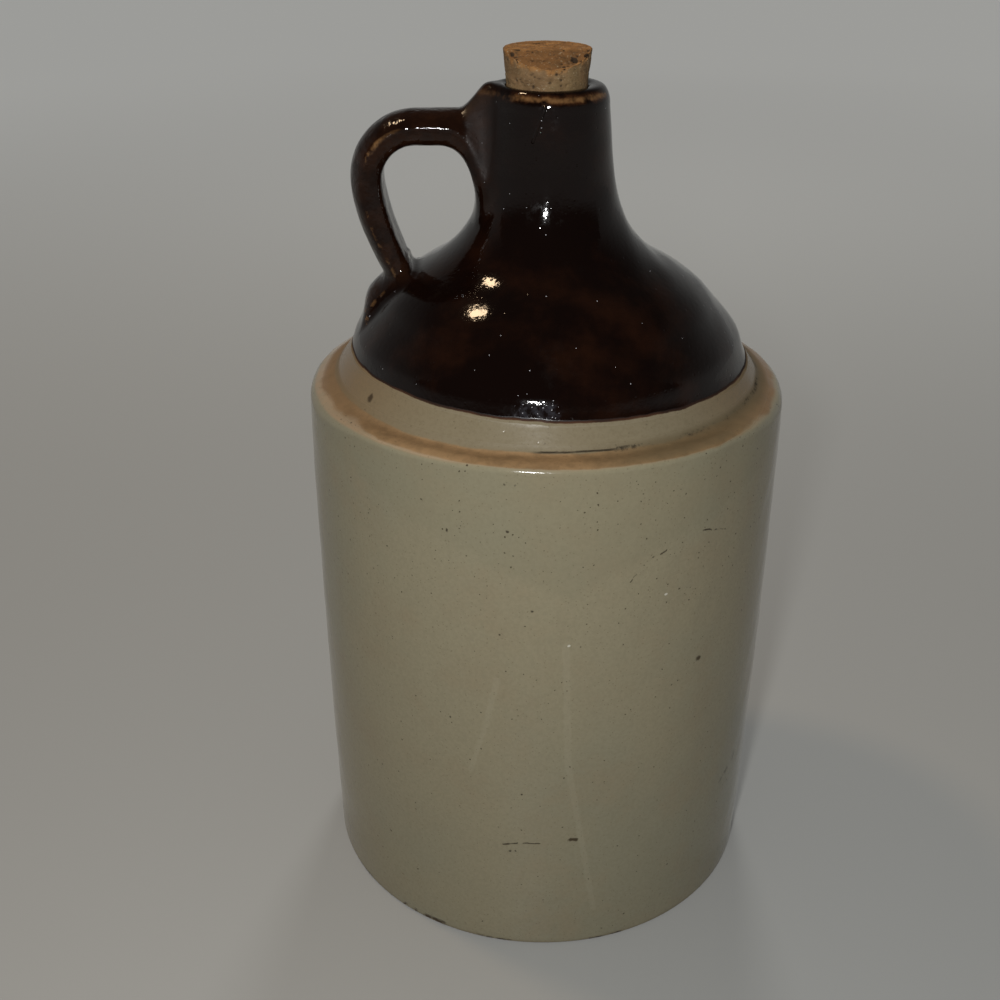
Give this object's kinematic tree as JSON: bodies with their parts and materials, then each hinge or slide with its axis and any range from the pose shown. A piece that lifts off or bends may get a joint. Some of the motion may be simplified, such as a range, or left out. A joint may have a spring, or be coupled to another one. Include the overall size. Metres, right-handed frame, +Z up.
{
  "type": "stoneware jug",
  "caption": "Tall stoneware jug in two glazes, with a ledged shoulder, domed top, narrow neck, strap handle at the neck and a tapered cork.",
  "frame": {"origin": "where the jug's axis meets the plane of its flat foot; this is the middle of the box's underside, because the handle doesn't reach past the body", "axes": "+Z up along the jug's axis, -X towards the strap handle, -Y the side that the picture shows"},
  "size_m": [0.2084, 0.2084, 0.3802],
  "materials": {
    "glazed_stoneware": "gloss, beige-grey glaze below the shoulder ledge and dark brown glaze on dome, neck and handle",
    "natural_cork": "matt, pitted"
  },
  "bodies": {
    "root": {"stoneware_jug": "glazed_stoneware", "cork_stopper": "natural_cork"}
  },
  "joints": []
}
